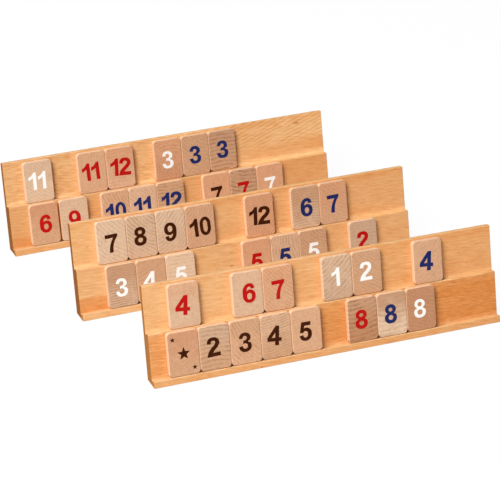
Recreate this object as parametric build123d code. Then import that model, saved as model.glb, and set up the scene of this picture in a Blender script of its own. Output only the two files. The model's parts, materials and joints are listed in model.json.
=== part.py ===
from build123d import *
from math import cos, radians, sin, tan
import os

# A set of three two-tier wooden tile racks, one behind the other, with fourteen loose
# wooden tiles on each. Millimetres, +Z up, +Y to the back. The set stands on Z = 0, with
# the origin below its middle.

# Tile.
tile_width = 25.7
tile_height = 35.7
tile_thickness = 4.6
tile_corner = 3.1
tile_round = 0.8
tile_gap = 0.1            # between neighbours in a run
rest_gap = 0.1            # behind and below a tile that rests in its place

# Rack: three boards glued one in front of the other, leaning back on their bevelled feet.
rack_length = 300.0
board_thickness = 4.4     # back board, the upper tiles lean on it
ledge_margin = 0.5        # both ledges are deeper than a tile is thick by this much
tier_margin = 0.6         # from the top of a lower tile up to the upper ledge
head_margin = 1.8         # from the top of an upper tile up to the board's top
foot_face = 5.8           # front face of the foot strip
lean = 15.0               # degrees that the boards lean back
rack_round = 0.5          # eased outer edges

# Props: two wedges glued behind the back board, so that the rack can't tip back.
prop_width = 12.0
prop_inset = 46.0         # from the rack's end to the prop's outer side
prop_height = 42.0        # along the back board
prop_reach = 36.0         # on the table, from the back board's rear edge
prop_toe = 5.0            # height of the prop's rear end
prop_cap = 4.0            # depth of the prop's top end
prop_round = 0.8          # eased edges, save those on the board

# Where the racks stand: each is shifted to the left of the one before it, and two of them
# are turned a little about the vertical, in degrees.
row_shift = 15.4
front_pitch = 120.6       # from the front rack's middle to the middle rack's
back_pitch = 127.4        # from the middle rack's middle to the back rack's
front_turn = -1.0
back_turn = 0.7

rack_places = {
    "front_rack": Pos(row_shift, -front_pitch, 0) * Rot(0, 0, front_turn),
    "middle_rack": Pos(0, 0, 0),
    "back_rack": Pos(-row_shift, back_pitch, 0) * Rot(0, 0, back_turn),
}

# Runs of touching tiles on each ledge, from its left end: the free space before the run, and
# how many tiles it has.
tile_runs = {
    "front_rack": {
        "upper": [(19.0, 1), (27.0, 2), (24.8, 2), (28.2, 1)],
        "lower": [(13.5, 5), (22.9, 3)],
    },
    "middle_rack": {
        "upper": [(20.0, 4), (27.4, 1), (16.1, 2)],
        "lower": [(23.5, 3), (42.3, 3), (20.9, 1)],
    },
    "back_rack": {
        "upper": [(16.5, 1), (22.9, 2), (18.9, 3)],
        "lower": [(16.4, 1), (1.1, 1), (12.3, 3), (17.7, 3)],
    },
}

# Depths run forward from the back board's rear face, and heights run up along the board
# from its lower rear edge, which stands on the table.
bevel = tan(radians(lean))
ledge_depth = tile_thickness + ledge_margin
step_depth = board_thickness + ledge_depth
foot_depth = step_depth + ledge_depth
lower_ledge = foot_face - foot_depth * bevel
upper_ledge = lower_ledge + tile_height + tier_margin
board_top = upper_ledge + tile_height + head_margin

# Each tier's seat: the depth of the face that its tiles lean on, and its ledge's height.
seats = {
    "upper": (board_thickness, upper_ledge),
    "lower": (step_depth, lower_ledge),
}

# A rack is drawn with X along it from its middle and its boards upright, and then leans.
leaning = Rot(-lean, 0, 0)
tolerance = 0.001


def prism(corners, width):
    # An outline in the YZ plane, drawn out along X, half to either side.
    return extrude(make_face(Plane.YZ * Polyline(*corners, close=True)), width / 2, both=True)


def eased(solid, radius, kept):
    # All the solid's edges rounded, save those that kept picks out.
    return fillet([edge for edge in solid.edges() if not kept(edge.center())], radius)


def rack_body():
    # The three boards as one stepped piece, eased outside once it is glued.
    inner_corners = [(-board_thickness, upper_ledge), (-step_depth, lower_ledge)]
    corners = [
        (0, 0),
        (0, board_top),
        (-board_thickness, board_top),
        inner_corners[0],
        (-step_depth, upper_ledge),
        inner_corners[1],
        (-foot_depth, lower_ledge),
        (-foot_depth, -foot_depth * bevel),
    ]

    def inner(middle):
        return any(
            abs(middle.Y - y) < tolerance and abs(middle.Z - z) < tolerance
            for y, z in inner_corners
        )

    return eased(prism(corners, rack_length), rack_round, inner)


def layer(body, near, far):
    # The board that lies between two depths.
    size = 2 * rack_length
    slab = Box(size, far - near, size, align=(Align.CENTER, Align.MAX, Align.CENTER))
    return leaning * (body & (Pos(0, -near, 0) * slab))


def prop():
    # A wedge on the table behind the leaning board, drawn in its final attitude.
    top_y = prop_height * sin(radians(lean))
    top_z = prop_height * cos(radians(lean))
    corners = [
        (0, 0),
        (prop_reach, 0),
        (prop_reach, prop_toe),
        (top_y + prop_cap, top_z),
        (top_y, top_z),
    ]

    def glued(middle):
        return abs(middle.Y - middle.Z * bevel) < tolerance

    return eased(prism(corners, prop_width), prop_round, glued)


def tile():
    # Drawn upright in its seat: its back on the plane Y = 0, its left lower corner at the origin.
    blank = Box(tile_width, tile_thickness, tile_height, align=(Align.MIN, Align.MAX, Align.MIN))
    shaped = fillet(blank.edges().filter_by(Axis.Y), tile_corner)
    faces = shaped.faces().filter_by(Axis.Y)
    return fillet(faces.edges(), tile_round)


def rack_nodes(rack):
    # A rack's boards, props and tiles by name, in the rack's own place.
    body = rack_body()
    nodes = {
        "back_board": layer(body, 0, board_thickness),
        "step_board": layer(body, board_thickness, step_depth),
        "foot_strip": layer(body, step_depth, foot_depth),
    }
    for side, sign in (("left", -1), ("right", 1)):
        prop_x = sign * (rack_length / 2 - prop_inset - prop_width / 2)
        nodes[f"{side}_prop"] = Pos(prop_x, 0, 0) * prop()
    for tier, runs in tile_runs[rack].items():
        depth, height = seats[tier]
        tile_x = -rack_length / 2
        number = 0
        for space, count in runs:
            tile_x += space
            for _ in range(count):
                number += 1
                seat = Pos(tile_x, -depth - rest_gap, height + rest_gap)
                nodes[f"{tier}_tile_{number}"] = leaning * seat * tile()
                tile_x += tile_width + tile_gap
    return nodes


def main():
    os.makedirs("parts", exist_ok=True)
    pieces = {
        f"{rack}_{name}": place * piece
        for rack, place in rack_places.items()
        for name, piece in rack_nodes(rack).items()
    }
    box = Compound(list(pieces.values())).bounding_box()
    middle = Pos(-box.center().X, -box.center().Y, -box.min.Z)
    for name, piece in pieces.items():
        export_step(middle * piece, f"parts/{name}.step")
    print(len(pieces), "pieces, box", box.size, "middle", box.center())


main()
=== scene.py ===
import json
from math import acos, atan2, cos, degrees, pi, radians, sin

import bpy
from mathutils import Euler, Matrix, Vector


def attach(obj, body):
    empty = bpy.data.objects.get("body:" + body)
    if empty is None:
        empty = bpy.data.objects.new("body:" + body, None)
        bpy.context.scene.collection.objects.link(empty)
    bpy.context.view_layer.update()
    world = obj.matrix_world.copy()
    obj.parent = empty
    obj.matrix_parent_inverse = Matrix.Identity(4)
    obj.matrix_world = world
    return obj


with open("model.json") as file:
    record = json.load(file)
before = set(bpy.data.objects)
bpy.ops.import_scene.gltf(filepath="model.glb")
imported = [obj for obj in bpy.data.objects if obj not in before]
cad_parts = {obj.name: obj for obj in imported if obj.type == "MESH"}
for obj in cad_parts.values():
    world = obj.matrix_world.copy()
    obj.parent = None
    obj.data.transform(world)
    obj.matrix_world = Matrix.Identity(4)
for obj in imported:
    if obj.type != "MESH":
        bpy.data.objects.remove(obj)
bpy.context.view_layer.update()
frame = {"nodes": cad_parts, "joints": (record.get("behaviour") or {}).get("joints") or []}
nodes = frame["nodes"]
mm = 0.001


class Value:
    # A socket in a material's tree, so that node maths reads as plain expressions.
    def __init__(self, tree, socket):
        self.tree = tree
        self.socket = socket

    def node(self, kind, settings=None, values=None, output=0):
        made = self.tree.nodes.new(kind)
        for name, setting in (settings or {}).items():
            setattr(made, name, setting)
        for name, value in (values or {}).items():
            target = made.inputs[name]
            if isinstance(value, Value):
                self.tree.links.new(value.socket, target)
            else:
                target.default_value = value
        return Value(self.tree, made.outputs[output])

    def maths(self, operation, *values):
        return self.node("ShaderNodeMath", {"operation": operation}, dict(enumerate(values)))

    def __add__(self, other):
        return self.maths("ADD", self, other)

    def __radd__(self, other):
        return self.maths("ADD", other, self)

    def __sub__(self, other):
        return self.maths("SUBTRACT", self, other)

    def __rsub__(self, other):
        return self.maths("SUBTRACT", other, self)

    def __mul__(self, other):
        return self.maths("MULTIPLY", self, other)

    def __rmul__(self, other):
        return self.maths("MULTIPLY", other, self)

    def __truediv__(self, other):
        return self.maths("DIVIDE", self, other)

    def __pow__(self, other):
        return self.maths("POWER", self, other)

    def __abs__(self):
        return self.maths("ABSOLUTE", self)

    def larger(self, other):
        return self.maths("MAXIMUM", self, other)

    def step(self, low, high):
        # 0 below low, 1 above high and smooth between, or the other way round.
        settings = {"interpolation_type": "SMOOTHSTEP"}
        values = {"Value": self, "From Min": low, "From Max": high}
        return self.node("ShaderNodeMapRange", settings, values)

    def part(self, axis):
        return self.node("ShaderNodeSeparateXYZ", {}, {"Vector": self}, "XYZ".index(axis))

    def noise(self, scale, detail=2.0, roughness=0.5, stretch=(1, 1, 1), shift=(0, 0, 0)):
        # Fractal noise on the vector, drawn out along the axes whose stretch is small.
        drawn = {"Vector": self, "Location": shift, "Scale": stretch}
        at = self.node("ShaderNodeMapping", {}, drawn)
        values = {"Vector": at, "Scale": scale, "Detail": detail, "Roughness": roughness}
        return self.node("ShaderNodeTexNoise", {}, values)

    def blend(self, low, high, free=False):
        # Two colours mixed by this value, which may go past both where it is free.
        settings = {"data_type": "RGBA", "clamp_factor": not free}
        values = {0: self, 6: opaque(low), 7: opaque(high)}
        return self.node("ShaderNodeMix", settings, values, 2)


def opaque(colour):
    return colour if isinstance(colour, Value) else (*colour, 1.0)


def scaled(colour, factor):
    return tuple(part * factor for part in colour)


def between(first, second, share):
    return tuple(a * (1 - share) + b * share for a, b in zip(first, second))


def newMaterial(name, constants):
    # A material, its Principled shader's input setter and a Value to start expressions from.
    material = bpy.data.materials.new(name)
    material.use_nodes = True
    tree = material.node_tree
    shader = tree.nodes["Principled BSDF"]
    for socket, value in constants.items():
        shader.inputs[socket].default_value = value

    def feed(socket, value):
        tree.links.new(value.socket, shader.inputs[socket])

    return material, feed, Value(tree, None)


def bumped(height, strength, distance):
    values = {"Height": height, "Strength": strength, "Distance": distance}
    return height.node("ShaderNodeBump", {}, values)


def noiseOf(spot, row, shift):
    # Noise round zero, from its scale, detail, roughness, stretch and share of the piece's shift.
    scale, detail, roughness, stretch, share = row
    return spot.noise(scale, detail, roughness, stretch, scaled(shift, share)) - 0.5


def weighed(shares, **parts):
    # The parts, each times its share, on top of the base.
    total = shares.get("base", 0.0)
    for name, part in parts.items():
        total = total + part * shares[name]
    return total


def lateWood(turns, starts, darkest, ends):
    # Growth rings that darken from one share of their width to the next, and then fade.
    turn = turns.maths("FRACT", turns)
    return turn.step(starts, darkest) * turn.step(1.0, ends)


def paint(name, material):
    for slot in nodes[name].material_slots:
        slot.material = material


def rackOf(name):
    return name.split("_rack_")[0]


def readAttitudes():
    # How the boards of each rack stand, from the slides of its tiles.
    attitudes = {}
    for joint in frame["joints"]:
        x, y, z = joint["axis"]
        attitudes[rackOf(joint["child"])] = {"turn": atan2(-x, y), "lean": acos(z)}
    return attitudes


attitudes = readAttitudes()
for rack, attitude in attitudes.items():
    turn, lean = (round(degrees(attitude[angle]), 2) for angle in ("turn", "lean"))
    print("rack:", rack, "turn", turn, "lean", lean)


def attitudeOf(name):
    attitude = attitudes[rackOf(name)]
    return Euler((-attitude["lean"], 0, attitude["turn"]))


def localBox(name):
    # The corner of a piece that is left, rear and low, once its rack is upright, and its size.
    attitude = attitudeOf(name).to_matrix()
    spots = [attitude.transposed() @ vertex.co for vertex in nodes[name].data.vertices]
    low = [min(spot[axis] for spot in spots) for axis in range(3)]
    high = [max(spot[axis] for spot in spots) for axis in range(3)]
    size = tuple((high[axis] - low[axis]) / mm for axis in range(3))
    return attitude @ Vector((low[0], high[1], low[2])), size


boxes = {name: localBox(name) for name in nodes}


def localSpot(start, name):
    # Millimetres along the piece, back from its rear face and up, whatever its lean and turn.
    spot = start.node("ShaderNodeTexCoord", {}, {}, "Object")
    values = {
        "Vector": spot, "Location": boxes[name][0],
        "Rotation": attitudeOf(name), "Scale": (mm, mm, mm),
    }
    return start.node("ShaderNodeMapping", {"vector_type": "TEXTURE"}, values)


# Beech of the tiles: tones of the end grain, in linear colour.
tileTones = {
    "bright": (0.755, 0.523, 0.350),
    "cream": (0.710, 0.490, 0.330),
    "pale": (0.668, 0.440, 0.287),
    "blush": (0.685, 0.415, 0.258),
    "pink": (0.668, 0.374, 0.216),
    "rose": (0.690, 0.345, 0.186),
    "tan": (0.612, 0.340, 0.190),
    "grey": (0.605, 0.388, 0.250),
    "drab": (0.560, 0.307, 0.176),
    "russet": (0.600, 0.295, 0.160),
    "brown": (0.535, 0.257, 0.133),
    "umber": (0.500, 0.237, 0.115),
}

# The inks, and how far each spreads past the outlines of its numbers, in their units.
inks = {
    "red": {"colour": (0.470, 0.005, 0.005), "spread": 2.0},
    "blue": {"colour": (0.012, 0.022, 0.112), "spread": 2.0},
    "black": {"colour": (0.046, 0.008, 0.001), "spread": 1.8},
    "white": {"colour": (0.920, 0.890, 0.850), "spread": 0.7},
}

# Each tile: its number, ink, the middle of the number from the tile's left lower corner and the
# number's turn to the right; tones of the wood below and above, slope of its rings, their spacing,
# depth and bend.
tileFacts = {
    "front_upper": [
        ("4", "red", 11.6, 18.0, 5, "pale", "pink", 3, 1.7, 0.16, 200),
        ("6", "red", 13.9, 18.3, 0, "pale", "blush", 6, 2.6, 0.14, 150),
        ("7", "red", 12.9, 16.9, -2, "pink", "rose", -42, 2.6, 0.28, 80),
        ("1", "white", 11.4, 18.5, 0, "grey", "pale", 38, 3.2, 0.42, 120),
        ("2", "white", 11.7, 18.9, -1, "tan", "tan", -35, 2.5, 0.26, 100),
        ("4", "blue", 11.5, 18.2, 5, "pink", "pink", 30, 3.0, 0.14, 200),
    ],
    "front_lower": [
        ("star", "black", 12.8, 17.7, 0, "tan", "russet", 36, 2.4, 0.16, 90),
        ("2", "black", 11.4, 18.5, -2, "tan", "grey", -3, 3.4, 0.45, -70),
        ("3", "black", 12.1, 17.6, 0, "pink", "tan", -55, 2.7, 0.30, 70),
        ("4", "black", 11.2, 18.3, 5, "tan", "blush", 10, 2.1, 0.46, 90),
        ("5", "black", 11.7, 17.3, 0, "pink", "pink", 10, 2.8, 0.12, 100),
        ("8", "red", 11.6, 18.3, 0, "umber", "drab", 8, 3.6, 0.56, 70),
        ("8", "blue", 11.5, 18.3, 0, "bright", "drab", 3, 4.2, 0.32, 100),
        ("8", "white", 11.6, 18.3, 0, "brown", "brown", -20, 2.9, 0.18, 100),
    ],
    "middle_upper": [
        ("7", "black", 12.6, 16.5, -2, "cream", "cream", -38, 3.0, 0.28, 60),
        ("8", "black", 11.5, 18.2, 0, "pale", "pale", -38, 2.7, 0.48, 70),
        ("9", "black", 12.0, 17.5, 0, "pale", "cream", 42, 2.9, 0.34, 60),
        ("10", "black", 12.5, 17.1, -3, "pink", "pink", 50, 2.4, 0.30, 60),
        ("12", "black", 12.6, 17.7, 3, "rose", "rose", 52, 2.3, 0.30, 60),
        ("6", "blue", 13.6, 17.9, 0, "pale", "tan", 1, 2.3, 0.40, -60),
        ("7", "blue", 12.6, 17.0, -2, "pink", "rose", -30, 3.0, 0.18, 100),
    ],
    "middle_lower": [
        ("3", "white", 12.0, 16.5, 0, "grey", "drab", 1, 2.1, 0.50, -90),
        ("4", "white", 11.1, 17.7, 5, "tan", "tan", 20, 3.0, 0.16, 100),
        ("5", "white", 12.5, 17.2, 0, "bright", "bright", 2, 3.0, 0.26, -100),
        ("5", "red", 12.1, 16.6, 0, "rose", "rose", 35, 2.4, 0.20, 50),
        ("5", "blue", 12.1, 16.6, 0, "blush", "blush", -72, 2.8, 0.40, 45),
        ("5", "white", 12.6, 17.0, 0, "tan", "tan", -30, 2.6, 0.30, 30),
        ("2", "red", 11.8, 18.5, -2, "grey", "grey", 1, 2.7, 0.30, -90),
    ],
    "back_upper": [
        ("11", "white", 11.5, 18.6, 1, "cream", "pale", -38, 2.4, 0.22, 90),
        ("11", "red", 11.3, 18.6, -2, "pink", "pink", 80, 2.4, 0.16, 50),
        ("12", "red", 12.9, 18.5, 3, "blush", "rose", 5, 2.8, 0.22, 80),
        ("3", "white", 12.0, 17.7, 0, "russet", "rose", 4, 3.0, 0.26, -14),
        ("3", "blue", 12.2, 18.0, 0, "tan", "tan", -30, 2.9, 0.22, 60),
        ("3", "blue", 12.5, 18.8, 0, "tan", "drab", -2, 3.4, 0.54, -90),
    ],
    "back_lower": [
        ("6", "red", 13.4, 18.1, 0, "tan", "russet", 35, 2.6, 0.14, 60),
        ("9", "red", 12.8, 17.5, 0, "pale", "pale", 4, 3.0, 0.16, 80),
        ("10", "blue", 12.5, 17.6, -1, "pink", "pink", -58, 2.8, 0.38, 60),
        ("11", "blue", 11.5, 18.5, 0, "blush", "blush", -40, 3.0, 0.22, 90),
        ("12", "blue", 13.0, 18.5, 3, "tan", "tan", 1, 2.9, 0.50, 120),
        ("7", "black", 12.6, 16.3, -2, "rose", "rose", 15, 3.0, 0.08, 90),
        ("7", "red", 12.7, 16.6, -2, "drab", "drab", -8, 3.5, 0.62, 60),
        ("7", "white", 12.6, 16.8, -2, "rose", "rose", 25, 3.0, 0.08, 90),
    ],
}

tileWood = {
    "shader": {"IOR": 1.45, "Specular IOR Level": 0.18},
    "shift": (7.3, 3.1, 5.7),        # of the noises, from one tile to the next
    "lateWood": (0.18, 0.82, 0.82),
    "stray": {"wander": 3.52, "ripple": 0.4},   # full range of a ring's waver, in millimetres
    "unevenRange": (-0.20, 0.16),
    "evenShare": 0.2,     # share of the rings' depth that is the same all over
    "rays": (2.2, 1.0, 0.5),         # scale, detail and roughness
    "rayStretch": (1.0, 0.05, 0.12),
    "dark": (0.66, 0.60, 0.52),      # a ring's late wood, as a share of the tone
    "driftShare": 0.9,    # how far blotches move the place where the lower tone gives way
    "driftRange": (0.12, 0.88),
    "face": {
        "rings": 1.55, "pore": 0.16, "rays": 0.4, "blotch": 0.22, "mottle": 1.05, "base": 0.05,
    },
    "endDepth": (0.32, 0.04),        # how far in from the faces their end grain ends and begins
    "side": (0.785, 0.530, 0.340),   # long grain of the edges
    "sideShare": 0.85,    # how far the edges of every tile come near that tone
    "edge": {"rings": 0.5, "pore": 0.10, "base": 0.02},
    "edgeDark": 0.8,
    "contactShade": (0.46, 0.150, 0.045),   # painted shade on the edge that it stands on
    "contactUp": (1.0, 0.1),
    "contactShare": 0.75,
    "touching": 1.0,      # millimetres to a neighbour, below which the two count as touching
    "nearby": 1.5,        # and below which the gap between them is narrow
    "gapShade": (0.62, 0.205, 0.045),      # painted shade on the sides of a narrow gap
    "slitDepth": (0.5, 0.1),
    "slitShare": {"touching": 0.15, "narrow": 0.9},
    "nook": (0.165, 0.026, 0.001),     # the deep shade where the lower corners of two tiles meet
    "nookAcross": (3.2, 1.6),
    "nookUp": (3.4, 2.0),
    "nookShare": {"touching": 0.94, "narrow": 0.1},
    "roughness": {"base": 0.52, "pore": 0.18, "rings": 0.12},
    "shadeRoughness": 0.4,
    "bump": {"pore": 0.6, "rays": 0.5, "rings": -0.2},
    "relief": (0.14, 0.0002),        # strength and distance of the bump
}

# Scale, detail, roughness, stretch and share of the tile's own shift.
tileNoises = {
    "wander": (0.085, 2.0, 0.5, (1, 0.15, 1), 1.0),
    "ripple": (0.7, 1.0, 0.5, (1, 0.1, 1), 1.0),
    "uneven": (0.13, 1.0, 0.5, (1, 0.3, 1), 2.0),
    "pore": (3.4, 2.0, 0.6, (1, 0.08, 1), 1.0),
    "mottle": (0.55, 2.0, 0.6, (1, 0.2, 1), 0.6),
    "blotch": (0.10, 2.0, 0.5, (1, 0.3, 1), 1.5),
}


def tileMaterial(name, number, facts):
    low, high, slope, spacing, depth, bend = facts
    width, thickness, height = boxes[name][1]
    material, feed, start = newMaterial(name + "_wood", tileWood["shader"])
    spot = localSpot(start, name)
    across, deep, up = (spot.part(axis) for axis in "XYZ")
    shift = scaled(tileWood["shift"], number)
    made = (noiseOf(spot, row, shift) for row in tileNoises.values())
    wander, ripple, uneven, pore, mottle, blotch = made

    # Growth rings round a centre far to one side.
    along = radians(slope)
    centre = (width / 2 - bend * sin(along), height / 2 + bend * cos(along))
    sideways, upward = across - centre[0], up - centre[1]
    radius = (sideways * sideways + upward * upward) ** 0.5
    turns = (radius + weighed(tileWood["stray"], wander=wander, ripple=ripple)) / spacing
    even = tileWood["evenShare"]
    strength = uneven.step(*tileWood["unevenRange"]) * (1 - even) + even
    rings = lateWood(turns, *tileWood["lateWood"]) * strength * depth

    # Fine rays that cross the rings.
    turned = {"Vector": spot, "Rotation": (0, along, 0), "Scale": tileWood["rayStretch"]}
    rays = start.node("ShaderNodeMapping", {}, turned).noise(*tileWood["rays"]) - 0.5

    # The end grain shows on the front and rear faces.
    drift = (up / height + blotch * tileWood["driftShare"]).step(*tileWood["driftRange"])
    light = drift.blend(tileTones[low], tileTones[high])
    average = between(tileTones[low], tileTones[high], 0.5)
    dark = tuple(part * share for part, share in zip(average, tileWood["dark"]))
    parts = {"rings": rings, "pore": pore, "rays": rays, "blotch": blotch, "mottle": mottle}
    face = weighed(tileWood["face"], **parts)
    faceColour = face.blend(light, dark, free=True)

    # The edges are long grain, with shade where they stand on the ledge or face a neighbour.
    side = between(average, tileWood["side"], tileWood["sideShare"])
    edge = weighed(tileWood["edge"], rings=rings, pore=pore)
    edgeColour = edge.blend(side, scaled(dark, tileWood["edgeDark"]))
    # Painted shade along the foot of the edges, where the tile stands on the ledge.
    contactShade = up.step(*tileWood["contactUp"]) * tileWood["contactShare"]
    edgeColour = contactShade.blend(edgeColour, tileWood["contactShade"])
    rough = weighed(tileWood["roughness"], pore=pore, rings=rings)
    # Painted shade on a side that faces a close neighbour, and deeper painted shade in the lower
    # corner between the two.
    for closeSide, gap in closeSidesOf(name).items():
        kind = "touching" if gap < tileWood["touching"] else "narrow"
        fromSide = across if closeSide == "left" else width - across
        gapShade = fromSide.step(*tileWood["slitDepth"]) * tileWood["slitShare"][kind]
        edgeColour = gapShade.blend(edgeColour, tileWood["gapShade"])
        nook = fromSide.step(*tileWood["nookAcross"]) * up.step(*tileWood["nookUp"])
        nook = nook * tileWood["nookShare"][kind]
        edgeColour = nook.blend(edgeColour, tileWood["nook"])
        rough = rough + gapShade.larger(nook) * tileWood["shadeRoughness"]

    end = (thickness / 2 - abs(deep + thickness / 2)).step(*tileWood["endDepth"])
    feed("Base Color", end.blend(edgeColour, faceColour))
    feed("Roughness", rough)
    bump = weighed(tileWood["bump"], pore=pore, rays=rays, rings=rings)
    feed("Normal", bumped(bump, *tileWood["relief"]))
    return material


def tileNames():
    for place, facts in tileFacts.items():
        rack, tier = place.split("_")
        for count, row in enumerate(facts, 1):
            yield f"{rack}_rack_{tier}_tile_{count}", row


def closeSidesOf(name):
    # The sides on which another tile of the same ledge stands close by, and how far off it is.
    corner, size = boxes[name]
    upright = attitudeOf(name).to_matrix().transposed()
    sides = {}
    for other in nodes:
        if other.split("_tile_")[0] == name.split("_tile_")[0] and other != name:
            apart = (upright @ (boxes[other][0] - corner)).x / mm
            gap = abs(apart) - size[0]
            if gap < tileWood["nearby"]:
                sides["right" if apart > 0 else "left"] = gap
    return sides


tileRows = dict(tileNames())
for number, (name, row) in enumerate(tileRows.items(), 1):
    paint(name, tileMaterial(name, number, row[5:]))
print("tiles:", len(tileRows), "given their wood")


# Boards: clear beech, with long grain along the rack and end grain at its ends. Each has its
# tone and its amber at the left and right ends, the strength of its growth rings, and where they
# apply: how much more amber its top is (crown), how far below its top the ledge in front of it
# lies, the height of an amber band at its foot, the strength of its grain and dashes, how far the
# amber drifts, where figured grain starts, the colour of its sawn ends, and its knots by their
# place along and up and their half length and half height.
boardFacts = {
    "front_rack_back_board": {
        "tone": (0.99, 1.02), "amber": (0.1, 0.8), "rings": 0.10, "crown": 0.2, "ledge": 37.5,
        "dashes": 0.4,
    },
    "front_rack_step_board": {
        "tone": (0.99, 0.98), "amber": (1.12, 1.66), "rings": 0.12, "crown": -0.3, "ledge": 36.3,
        "grain": 0.9, "dashes": 1.3, "drift": 0.3,
    },
    "front_rack_foot_strip": {
        "tone": (0.97, 0.99), "amber": (0.75, 0.75), "rings": 0.12,
        "sawn": (0.46, 0.180, 0.035), "knots": [(89.5, 0.9, 1.4, 0.6)],
    },
    "middle_rack_back_board": {
        "tone": (0.99, 1.06), "amber": (0.0, 0.45), "rings": 0.12, "crown": 0.6, "ledge": 37.5,
    },
    "middle_rack_step_board": {
        "tone": (0.95, 1.04), "amber": (0.0, 0.4), "rings": 0.16, "ledge": 36.3, "band": 15,
        "knots": [(134.5, 20.7, 2.4, 0.8)],
    },
    "middle_rack_foot_strip": {
        "tone": (0.97, 1.02), "amber": (0.1, 0.7), "rings": 0.12, "sawn": (0.40, 0.155, 0.015),
    },
    "back_rack_back_board": {
        "tone": (0.92, 1.11), "amber": (0.2, -0.35), "rings": 0.10, "crown": 0.3, "ledge": 37.5,
        "dashes": 1.1, "figure": 208, "knots": [(274.5, 69.7, 4.0, 1.0)],
    },
    "back_rack_step_board": {
        "tone": (0.88, 1.02), "amber": (0.5, 0.8), "rings": 0.16, "ledge": 36.3, "band": 13,
    },
    "back_rack_foot_strip": {
        "tone": (0.92, 1.00), "amber": (0.7, 0.7), "rings": 0.12, "sawn": (0.40, 0.155, 0.015),
    },
}
propFacts = {"tone": (0.98, 0.98), "amber": (0.3, 0.3), "rings": 0.3}
endTones = {
    "front": (0.38, 0.142, 0.024),
    "middle": (0.270, 0.082, 0.003),
    "back": (0.270, 0.082, 0.003),
}

boardWood = {
    "shader": {"IOR": 1.47, "Specular IOR Level": 0.4},
    "shift": (31.0, 17.0, 23.0),     # of the noises, from one board to the next
    "light": (0.80, 0.445, 0.195),
    "warm": (0.745, 0.331, 0.112),
    "dark": (0.80, 0.57, 0.30),      # the darkest grain, as a share of the tone
    "edge": ((0.80, 0.470, 0.235), (0.755, 0.425, 0.175)),   # paler upper edge, a painted sheen, from left to right
    "sheenDepth": (1.4, 0.4),         # how far below the top that colour sets in
    "lateWood": (0.25, 0.95, 0.955),
    "ringSpacing": 3.2,
    "unevenRange": (-0.18, 0.20),
    "waver": 3.0,         # full range of a ring's waver, in millimetres
    "pithDepth": 32,      # how far the heart of the tree lay behind the board
    "pithHeight": 0.4,    # and how high, as a share of the board's height
    "grainFall": 4.5,     # degrees
    "mask": {"streak": 1.9, "vein": 0.5, "pore": 0.3, "rings": 1.0, "base": 0.08},
    "dashes": 0.3,
    "drift": 0.9,
    "crownDepth": (8, 2),            # how far below the top the crown sets in
    "paleUp": 4.5,        # how far above a ledge the wood in front is paler, painted light reflected from the ledge
    "bounceDepth": (1.0, 0.2),
    "bounceLight": 1.1,
    "bandAmber": 1.1,
    "bandSlope": 0.008,
    "bandStray": 3.0,
    "bandBlur": 1,
    "fleck": (0.44, 0.165, 0.045),
    "fleckRange": (0.14, 0.28),
    "fleckShare": 0.4,
    "knotShare": 0.8,
    "knotStray": 1.2,
    "knotRange": (1.1, 0.2),
    "sawn": {"rings": 1.6, "pore": 0.4, "base": 0.1},
    "sawnDepth": (0.42, 0.05),
    "sawnDark": 0.55,
    "roughness": {"base": 0.46, "streak": 0.18, "sawn": 0.4},
    "bump": {"streak": 0.5, "pore": 0.4, "fleck": -0.4},
    "relief": (0.12, 0.0002),        # strength and distance of the bump
}

# Noises in the board's own axes and in those of the grain, which runs a little down to the right.
boardNoises = {
    "waver": (0.16, 2.0, 0.55, (0.14, 1, 1), 1.0),
    "uneven": (0.05, 2.0, 0.5, (0.25, 1, 1), 1.7),
    "broad": (0.07, 2.0, 0.5, (0.25, 1, 1), 0.7),
}
grainNoises = {
    "streak": (0.80, 3.0, 0.6, (0.10, 1, 1), 1.0),
    "vein": (0.9, 1.0, 0.5, (0.04, 1, 1), 0.4),
    "fleck": (1.3, 1.0, 0.5, (0.2, 1, 1), 1.3),
    "pore": (4.0, 1.0, 0.5, (0.15, 1, 1), 1.0),
    "dash": (1.2, 0.0, 0.5, (0.16, 1, 1), 2.1),
}

# Figured grain, whose rings rise to the right above a foot that turns amber.
figure = {
    "spacing": 3.1,
    "lateWood": (0.30, 0.80, 0.84),
    "rise": 19,           # degrees
    "waver": 3.6,
    "broken": (0.11, 2.0, 0.6, (0.5, 1, 1), 0.9),
    "brokenRange": (-0.20, 0.06),
    "fade": (-10, 6),     # to the right of where it starts
    "bottom": (50, 57),   # the height that it stops at on the board
    "bottomStray": 16.0,
    "depth": 0.55,        # how much it darkens the board
    "dashes": -0.8,       # how far it takes the place of the dashes
    "footUp": (2, 9),     # above the ledge
    "footReach": 80.0,    # millimetres along the board until the foot is amber
    "footAmber": 0.1,
    "amber": 0.12,
}


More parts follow.
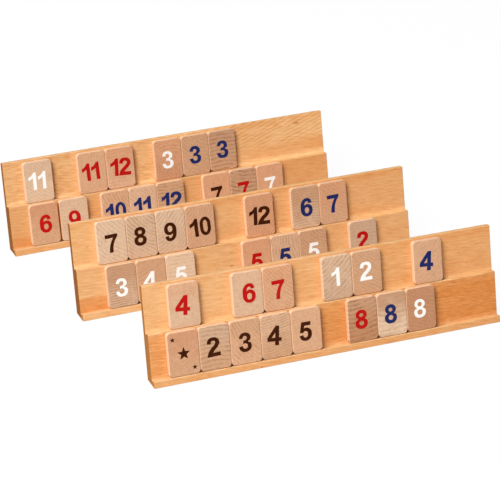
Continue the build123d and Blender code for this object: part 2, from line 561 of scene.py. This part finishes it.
def boardMaterial(name, number, facts):
    length, thickness, height = boxes[name][1]
    material, feed, start = newMaterial(name + "_beech", boardWood["shader"])
    spot = localSpot(start, name)
    along, deep, up = (spot.part(axis) for axis in "XYZ")
    shift = scaled(boardWood["shift"], number)
    fall = (0, -radians(boardWood["grainFall"]), 0)
    grain = start.node("ShaderNodeMapping", {}, {"Vector": spot, "Rotation": fall})
    waver, uneven, broad = (noiseOf(spot, row, shift) for row in boardNoises.values())
    streak, vein, fleck, pore, dash = (noiseOf(grain, row, shift) for row in grainNoises.values())
    fleck = fleck.step(*boardWood["fleckRange"])

    def lengthwise(ends):
        # From the value at the left end to that at the right end.
        return along * ((ends[1] - ends[0]) / length) + ends[0]

    # Growth rings round a heart that lay behind the board, so that they show as broad bands.
    upward = up - height * boardWood["pithHeight"]
    inward = deep + boardWood["pithDepth"]
    radius = (upward * upward + inward * inward) ** 0.5
    turns = (radius + waver * boardWood["waver"]) / boardWood["ringSpacing"]
    strength = uneven.step(*boardWood["unevenRange"]) * facts["rings"]
    rings = lateWood(turns, *boardWood["lateWood"]) * strength

    # Streaks, veins, dashes and pores darken the wood too.
    dash = dash * facts.get("dashes", boardWood["dashes"])
    streaks = streak * facts.get("grain", 1.0)
    mask = weighed(boardWood["mask"], streak=streaks, vein=vein, rings=rings, pore=pore) + dash

    # How amber it is.
    amber = lengthwise(facts["amber"]) + broad * facts.get("drift", boardWood["drift"])
    low, high = (height - below for below in boardWood["crownDepth"])
    amber = amber + up.step(low, high) * facts.get("crown", 0.0)
    if "ledge" in facts:
        # Painted light reflected from the ledge: paler on the front face, just above it.
        ledge = height - facts["ledge"]
        onFront = deep.step(*(inside - thickness for inside in boardWood["bounceDepth"]))
        pale = up.step(ledge + boardWood["paleUp"], ledge) * onFront
        amber = amber - pale * boardWood["bounceLight"]
    if "figure" in facts:
        fromStart = along - facts["figure"]
        shown = fromStart.step(*figure["fade"])
        above = (up + broad * figure["bottomStray"]).step(*figure["bottom"])
        rise = radians(figure["rise"])
        climb = (up * cos(rise) - along * sin(rise) + waver * figure["waver"]) / figure["spacing"]
        broken = noiseOf(grain, figure["broken"], shift).step(*figure["brokenRange"])
        bands = lateWood(climb, *figure["lateWood"]) * broken * above
        mask = mask + weighed(figure, depth=bands, dashes=dash) * shown
        low, high = (ledge + lift for lift in figure["footUp"])
        foot = (1.0 - above) * up.step(low, high)
        reached = fromStart / figure["footReach"] + figure["footAmber"]
        amber = amber + (foot * reached + figure["amber"]) * shown
    if "band" in facts:
        sloping = up + (along - length / 2) * boardWood["bandSlope"]
        sloping = sloping + broad * boardWood["bandStray"]
        band, blur = facts["band"], boardWood["bandBlur"]
        amber = amber.larger(sloping.step(band + blur, band - blur) * boardWood["bandAmber"])

    light = amber.blend(boardWood["light"], boardWood["warm"], free=True)
    if name in boardFacts:
        # A painted sheen: the top of each board turns to the paler edge colour.
        low, high = (height - below for below in boardWood["sheenDepth"])
        light = up.step(low, high).blend(light, (along / length).blend(*boardWood["edge"]))
    darkness = mask.blend((1, 1, 1), boardWood["dark"], free=True)
    colour = light.node("ShaderNodeVectorMath", {"operation": "MULTIPLY"}, {0: light, 1: darkness})
    colour = (fleck * boardWood["fleckShare"]).blend(colour, boardWood["fleck"])
    for knotAlong, knotUp, halfLength, halfHeight in facts.get("knots", []):
        # A small dark lens in the grain.
        sideways, upwards = (along - knotAlong) / halfLength, (up - knotUp) / halfHeight
        reach = sideways * sideways + upwards * upwards + pore * boardWood["knotStray"]
        knot = reach.step(*boardWood["knotRange"]) * boardWood["knotShare"]
        colour = knot.blend(colour, boardWood["fleck"])
    values = {0: colour, "Scale": lengthwise(facts["tone"])}
    colour = colour.node("ShaderNodeVectorMath", {"operation": "SCALE"}, values)

    # End grain on the sawn ends.
    sawn = (length / 2 - abs(along - length / 2)).step(*boardWood["sawnDepth"])
    endLight = facts.get("sawn", endTones[rackOf(name)])
    endMask = weighed(boardWood["sawn"], rings=rings, pore=pore)
    endColour = endMask.blend(endLight, scaled(endLight, boardWood["sawnDark"]))
    feed("Base Color", sawn.blend(colour, endColour))
    feed("Roughness", weighed(boardWood["roughness"], streak=streak, sawn=sawn))
    bump = weighed(boardWood["bump"], streak=streak, pore=pore, fleck=fleck)
    feed("Normal", bumped(bump, *boardWood["relief"]))
    return material


boards = sorted(name for name in nodes if name not in tileRows)
for number, name in enumerate(boards, 1):
    paint(name, boardMaterial(name, number, boardFacts.get(name, propFacts)))
print("boards:", len(boards), "given their wood")


# Numerals, drawn as outlines: a plain pair is a corner, and a third entry makes a point smooth.
# Holes are outlines of their own.
glyphHeight = 100


def oval(x, y, halfWidth, halfHeight, square=0.73):
    reach = [(1, 0), (square, square), (0, 1), (-square, square)]
    reach += [(-across, -up) for across, up in reach]
    return [(x + across * halfWidth, y + up * halfHeight, 1) for across, up in reach]


glyphs = {
    "0": {"width": 62, "outlines": [oval(31, 50, 31, 51.5, 0.74), oval(31, 50, 14.5, 37.5, 0.76)]},
    "1": {"width": 46, "outlines": [[
        (46, 0), (46, 101), (31.5, 101), (25, 90, 1), (14.5, 80.5, 1), (0, 74), (0, 57),
        (14, 62.5, 1), (27.5, 71.5), (27.5, 0),
    ]]},
    "2": {"width": 72, "outlines": [[
        (72, 0), (0, 0), (3.5, 15, 1), (13, 31, 1), (28, 46.5, 1), (44, 60.5, 1), (51.5, 71.5, 1),
        (48.5, 82, 1), (37, 86.5, 1), (26.5, 82.5, 1), (22.5, 70), (3.5, 72), (11, 93, 1),
        (37, 101.5, 1), (62, 93.5, 1), (71, 73.5, 1), (66, 57.5, 1), (52, 42, 1), (38, 30, 1),
        (29, 17.5), (72, 17.5),
    ]]},
    "3": {"width": 70, "outlines": [[
        (0, 27), (10, 7, 1), (34, -1.5, 1), (60, 6.5, 1), (70, 28, 1), (64.5, 44, 1),
        (50, 52.5, 1), (62, 61.5, 1), (66, 75, 1), (57, 94, 1), (35, 101.5, 1), (13, 95, 1),
        (3, 76), (20.5, 72.5), (25, 83.5, 1), (34.5, 87, 1), (44, 83, 1), (47.5, 73.5, 1),
        (43, 62.5, 1), (27, 59), (25, 43.5), (34.5, 45.5, 1), (46.5, 41, 1), (51, 28.5, 1),
        (46, 17, 1), (34, 13, 1), (24, 17, 1), (18.5, 29.5),
    ]]},
    "4": {"width": 78, "outlines": [[
        (63.5, -1), (63.5, 21), (78, 21), (78, 37.5), (63.5, 37.5), (63.5, 103), (45.5, 103),
        (0, 39), (0, 21), (44.5, 21), (44.5, -1),
    ], [(44.5, 37.5), (44.5, 72), (19.5, 37.5)]]},
    "5": {"width": 69, "outlines": [[
        (0, 26), (10, 7, 1), (33, -1.5, 1), (59, 8, 1), (69, 33, 1), (60.5, 58, 1), (37, 67.5, 1),
        (24.5, 64.5), (28, 82.5), (65, 82.5), (65, 100), (14.5, 100), (3.5, 46), (18.5, 43.5),
        (25.5, 50, 1), (34, 52.5, 1), (45.5, 47.5, 1), (49.5, 33.5, 1), (45, 18, 1), (33.5, 13, 1),
        (24, 17, 1), (19, 28.5),
    ]]},
    "6": {"width": 69.5, "outlines": [[
        (66, 76), (57, 94.5, 1), (37.5, 101.5, 1), (11, 88.5, 1), (0, 49, 1), (9.5, 10.5, 1),
        (36, -1.5, 1), (60, 8, 1), (69.5, 33, 1), (61.5, 56.5, 1), (40, 66, 1), (28, 63.5, 1),
        (19, 56), (24.5, 79.5, 1), (38, 87, 1), (45, 83.5, 1), (48, 74),
    ], oval(36, 32.5, 15.5, 19.5)]},
    "7": {"width": 70, "outlines": [[
        (0, 82.5), (0, 100), (70, 100), (70, 86.5), (56, 69, 1), (43, 41, 1), (37, 0), (18.5, 0),
        (24, 32, 1), (36, 61.5, 1), (48, 82.5),
    ]]},
    "8": {"width": 69, "outlines": [[
        (34.5, 101.5, 1), (57, 93.5, 1), (65, 75, 1), (60.5, 61.5, 1), (52.5, 53.5, 1),
        (64.5, 43.5, 1), (69, 28, 1), (60.5, 7.5, 1), (34.5, -1.5, 1), (8.5, 7.5, 1), (0, 28, 1),
        (4.5, 43.5, 1), (16.5, 53.5, 1), (8.5, 61.5, 1), (4, 75, 1), (12, 93.5, 1),
    ], oval(34.5, 74, 13.5, 12.5), oval(34.5, 29, 16, 15.5)]},
}


def upsideDown(glyph):
    width, outlines = glyph["width"], []
    for outline in glyph["outlines"]:
        outlines.append([(width - x, glyphHeight - y, *smooth) for x, y, *smooth in outline])
    return {"width": width, "outlines": outlines}


glyphs["9"] = upsideDown(glyphs["6"])

numeral = {
    "scale": 0.146,       # millimetres to a unit of the outlines
    "gaps": {"10": 15.0, "11": 12.0, "12": 7.0},   # between the digits of a number
    "proud": 0.05,        # how far the ink stands proud of the wood
    "sunk": 0.10,
    "fineness": 8,        # straight steps to a span of an outline
    "sharpest": 0.5,      # keeps a bolder outline from shooting out at a sharp corner
    "weld": 0.001,        # how near, in millimetres, two points are made one
}

wildTile = {
    "marks": [(12.8, 17.7, 11.0), (4.4, 29.8, 4.6), (20.9, 5.6, 4.6)],   # across, up and size
    "points": 5,
    "waist": 0.42,
}


def star(x, y, size):
    points, spots = wildTile["points"], []
    for corner in range(2 * points):
        reach = size / 2 * (wildTile["waist"] if corner % 2 else 1.0)
        angle = pi / 2 + pi * corner / points
        spots.append((x + reach * cos(angle), y + reach * sin(angle)))
    return spots


def bolder(outline, amount):
    # Each point moves outward by the amount, square to both sides that meet there.
    moved = []
    previous, following = outline[-1:] + outline[:-1], outline[1:] + outline[:1]
    for before, spot, after in zip(previous, outline, following):
        sides = []
        for near, far in ((before, spot), (spot, after)):
            across, up = far[0] - near[0], far[1] - near[1]
            sides.append(Vector((up, -across)).normalized())
        outward = (sides[0] + sides[1]).normalized()
        reach = amount / max(outward.dot(sides[0]), numeral["sharpest"])
        moved.append((spot[0] + outward.x * reach, spot[1] + outward.y * reach, *spot[2:]))
    return moved


def turnedRight(outline, hole):
    # Counterclockwise outside and clockwise round a hole, so that outward is to the right.
    area = sum(a[0] * b[1] - b[0] * a[1] for a, b in zip(outline, outline[1:] + outline[:1]))
    return outline if (area > 0) != hole else outline[::-1]


def numberOutlines(text, spread):
    # The outlines of a number in millimetres, with its middle at the origin.
    scale, gap = numeral["scale"], numeral["gaps"].get(text, 0)
    width = sum(glyphs[digit]["width"] for digit in text) + gap * (len(text) - 1)
    outlines, left = [], -width / 2
    for digit in text:
        for count, outline in enumerate(glyphs[digit]["outlines"]):
            spots = []
            for x, y, *smooth in bolder(turnedRight(outline, count > 0), spread):
                spots.append(((x + left) * scale, (y - glyphHeight / 2) * scale, *smooth))
            outlines.append(spots)
        left += glyphs[digit]["width"] + gap
    return outlines


def placed(name, data):
    thing = bpy.data.objects.new(name, data)
    bpy.context.scene.collection.objects.link(thing)
    return thing


def outlineCurve(name, outlines):
    data = bpy.data.curves.new(name, "CURVE")
    data.dimensions = "2D"
    data.fill_mode = "NONE"
    data.resolution_u = numeral["fineness"]
    for outline in outlines:
        spline = data.splines.new("BEZIER")
        spline.bezier_points.add(len(outline) - 1)
        spline.use_cyclic_u = True
        for point, (x, y, *smooth) in zip(spline.bezier_points, outline):
            point.co = (x, y, 0)
            point.handle_left_type = point.handle_right_type = "AUTO" if smooth else "VECTOR"
    return placed(name, data)


def printTree():
    # Fills outlines, gives them the thickness of the ink and lays them on a face.
    tree = bpy.data.node_groups.new("printOnFace", "GeometryNodeTree")
    inputs = {
        "Geometry": "Geometry", "Thickness": "Float", "Place": "Vector", "Attitude": "Rotation",
        "Size": "Vector", "Ink": "Material",
    }
    for name, kind in inputs.items():
        tree.interface.new_socket(name, in_out="INPUT", socket_type="NodeSocket" + kind)
    tree.interface.new_socket("Geometry", in_out="OUTPUT", socket_type="NodeSocketGeometry")

    def add(kind, values, **settings):
        made = tree.nodes.new(kind)
        for key, setting in settings.items():
            setattr(made, key, setting)
        for key, value in values.items():
            if isinstance(value, bpy.types.NodeSocket):
                tree.links.new(value, made.inputs[key])
            else:
                made.inputs[key].default_value = value
        return made

    given = tree.nodes.new("NodeGroupInput").outputs
    outline = {"Curve": given["Geometry"]}
    filled = add("GeometryNodeFillCurve", outline, mode="TRIANGLES").outputs[0]
    raised = add("GeometryNodeExtrudeMesh", {
        "Mesh": filled, "Offset Scale": given["Thickness"], "Individual": False,
    }, mode="FACES").outputs[0]
    under = add("GeometryNodeFlipFaces", {"Mesh": filled}).outputs[0]
    joined = tree.nodes.new("GeometryNodeJoinGeometry")
    tree.links.new(under, joined.inputs[0])
    tree.links.new(raised, joined.inputs[0])
    closed = add("GeometryNodeMergeByDistance", {
        "Geometry": joined.outputs[0], "Distance": numeral["weld"],
    }).outputs[0]
    laid = add("GeometryNodeTransform", {
        "Geometry": closed, "Translation": given["Place"],
        "Rotation": given["Attitude"], "Scale": given["Size"],
    }).outputs[0]
    real = add("GeometryNodeRealizeInstances", {"Geometry": laid}).outputs[0]
    inked = add("GeometryNodeSetMaterial", {"Geometry": real, "Material": given["Ink"]}).outputs[0]
    tree.links.new(inked, tree.nodes.new("NodeGroupOutput").inputs[0])
    return tree


inkWear = {
    "shader": {"IOR": 1.4, "Specular IOR Level": 0.08},
    "cover": (900.0, 2.0, 0.6),      # scale, detail and roughness of its fine unevenness
    "patch": (160.0, 2.0, 0.5),      # and of its broad one
    "thin": {"cover": 0.24, "patch": 0.3, "base": 0.03},
    "wood": 0.20,         # share of the wood's tone where the ink is thin
    "roughness": {"cover": 0.3, "base": 0.5},
    "relief": (0.15, 0.0001),        # strength and distance of the bump
}


def inkMaterial(name, colour):
    material, feed, start = newMaterial(name + "_ink", inkWear["shader"])
    spot = start.node("ShaderNodeTexCoord", {}, {}, "Object")
    cover, patch = spot.noise(*inkWear["cover"]) - 0.5, spot.noise(*inkWear["patch"]) - 0.5
    thin = weighed(inkWear["thin"], cover=cover, patch=patch)
    worn = between(colour, tileTones["tan"], inkWear["wood"])
    feed("Base Color", thin.larger(0.0).blend(colour, worn))
    feed("Roughness", weighed(inkWear["roughness"], cover=cover))
    feed("Normal", bumped(cover, *inkWear["relief"]))
    return material


def evaluatedMesh(thing, name):
    seen = thing.evaluated_get(bpy.context.evaluated_depsgraph_get())
    mesh = bpy.data.meshes.new_from_object(seen, preserve_all_data_layers=True)
    bpy.data.objects.remove(thing)
    mesh.name = name
    return placed(name, mesh)


def printNumber(name, row, tree, inkMaterials):
    text, ink, across, up, turn = row[:5]
    if text == "star":
        outlines = [star(*mark) for mark in wildTile["marks"]]
        across = up = turn = 0
    else:
        outlines = numberOutlines(text, inks[ink]["spread"])
    thing = outlineCurve(name + "_outline", outlines)
    attitude = attitudeOf(name).to_matrix()
    corner, size = boxes[name]
    upright = Matrix.Rotation(pi / 2, 3, "X") @ Matrix.Rotation(-radians(turn), 3, "Z")
    values = {
        "Thickness": numeral["proud"] + numeral["sunk"],
        "Place": corner + attitude @ Vector((across, numeral["sunk"] - size[1], up)) * mm,
        "Attitude": (attitude @ upright).to_euler(),
        "Size": (mm, mm, mm),
        "Ink": inkMaterials[ink],
    }
    modifier = thing.modifiers.new("printOnFace", "NODES")
    modifier.node_group = tree
    for item in tree.interface.items_tree:
        if item.in_out == "INPUT" and item.name in values:
            modifier[item.identifier] = values[item.name]
    piece = evaluatedMesh(thing, name + ("_stars" if text == "star" else "_number"))
    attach(piece, name)
    return piece


numberTree = printTree()
inkMaterials = {name: inkMaterial(name, ink["colour"]) for name, ink in inks.items()}
printed = [printNumber(name, row, numberTree, inkMaterials) for name, row in tileRows.items()]
faceCount = sum(len(piece.data.polygons) for piece in printed)
print("numbers:", len(printed), "printed,", faceCount, "faces")


# Floor: white where the camera looks at it, apart from a soft shadow.
floorFacts = {
    "shader": {"Roughness": 0.9, "Specular IOR Level": 0.1},
    "halfSize": 4.0,
    "colour": (0.62, 0.62, 0.62),
    "grain": (60.0, 3.0, 0.6),       # scale, detail and roughness
    "darkest": 0.985,     # the grain's dark side, as a share of the colour
    "glow": 1.04,
    "shade": 0.10,        # share of the floor's own shading that the camera sees
}


def makeFloor(facts):
    half = facts["halfSize"]
    corners = [(-half, -half, 0), (half, -half, 0), (half, half, 0), (-half, half, 0)]
    mesh = bpy.data.meshes.new("floor")
    mesh.from_pydata(corners, [], [(0, 1, 2, 3)])
    floor = placed("floor", mesh)

    material, feed, start = newMaterial("studioFloor", facts["shader"])
    spot = start.node("ShaderNodeTexCoord", {}, {}, "Object")
    grain = spot.noise(*facts["grain"])
    feed("Base Color", grain.blend(scaled(facts["colour"], facts["darkest"]), facts["colour"]))
    glow = start.node("ShaderNodeEmission", {}, {"Color": (1, 1, 1, 1), "Strength": facts["glow"]})
    path = start.node("ShaderNodeLightPath", {}, {}, "Is Camera Ray")
    tree = material.node_tree
    shader = Value(tree, tree.nodes["Principled BSDF"].outputs[0])
    share = path * (1.0 - facts["shade"])
    mixed = start.node("ShaderNodeMixShader", {}, {0: share, 1: shader, 2: glow})
    tree.links.new(mixed.socket, tree.nodes["Material Output"].inputs[0])
    mesh.materials.append(material)


makeFloor(floorFacts)

cameraSetup = {
    "place": (-0.6699, -1.4921, 0.8820),
    "azimuth": 24.455,
    "elevation": 27.697,
    "roll": 1.557,
    "lens": 159.1,
    "sensor": 36.0,
}


def makeCamera(setup):
    data = bpy.data.cameras.new("studioCamera")
    data.lens = setup["lens"]
    data.sensor_width = setup["sensor"]
    camera = placed("studioCamera", data)
    pan = Matrix.Rotation(radians(-setup["azimuth"]), 4, "Z")
    tilt = Matrix.Rotation(radians(90 - setup["elevation"]), 4, "X")
    roll = Matrix.Rotation(radians(setup["roll"]), 4, "Z")
    camera.matrix_world = Matrix.Translation(setup["place"]) @ pan @ tilt @ roll
    bpy.context.scene.camera = camera


makeCamera(cameraSetup)

# Lamps, by their bearing to the left of the front, height above the floor and distance.
lampSetup = {
    "key": {"azimuth": 50, "elevation": 40, "distance": 3.2, "size": 1.5, "power": 90},
    "side": {"azimuth": 80, "elevation": 64, "distance": 3.2, "size": 1.6, "power": 62},
}


def makeLamps(setup):
    for name, lamp in setup.items():
        data = bpy.data.lights.new(name + "Lamp", "AREA")
        data.size = lamp["size"]
        data.energy = lamp["power"]
        thing = placed(name + "Lamp", data)
        bearing, height = radians(lamp["azimuth"]), radians(lamp["elevation"])
        toLamp = Vector((-sin(bearing) * cos(height), -cos(bearing) * cos(height), sin(height)))
        thing.rotation_euler = (-toLamp).to_track_quat("-Z", "Y").to_euler()
        thing.location = toLamp * lamp["distance"]


makeLamps(lampSetup)

skySetup = {"strength": 0.17, "seen": 1.0}   # as a lamp, and as the camera sees it


def makeSky(setup):
    world = bpy.data.worlds.new("studio")
    bpy.context.scene.world = world
    world.use_nodes = True
    tree = world.node_tree
    cameraRay = Value(tree, None).node("ShaderNodeLightPath", {}, {}, "Is Camera Ray")
    strength = cameraRay * (setup["seen"] - setup["strength"]) + setup["strength"]
    background = tree.nodes["Background"]
    background.inputs["Color"].default_value = (1, 1, 1, 1)
    tree.links.new(strength.socket, background.inputs["Strength"])


makeSky(skySetup)
bpy.context.scene.view_settings.view_transform = "Standard"
print("studio: floor, camera, lamps and sky")
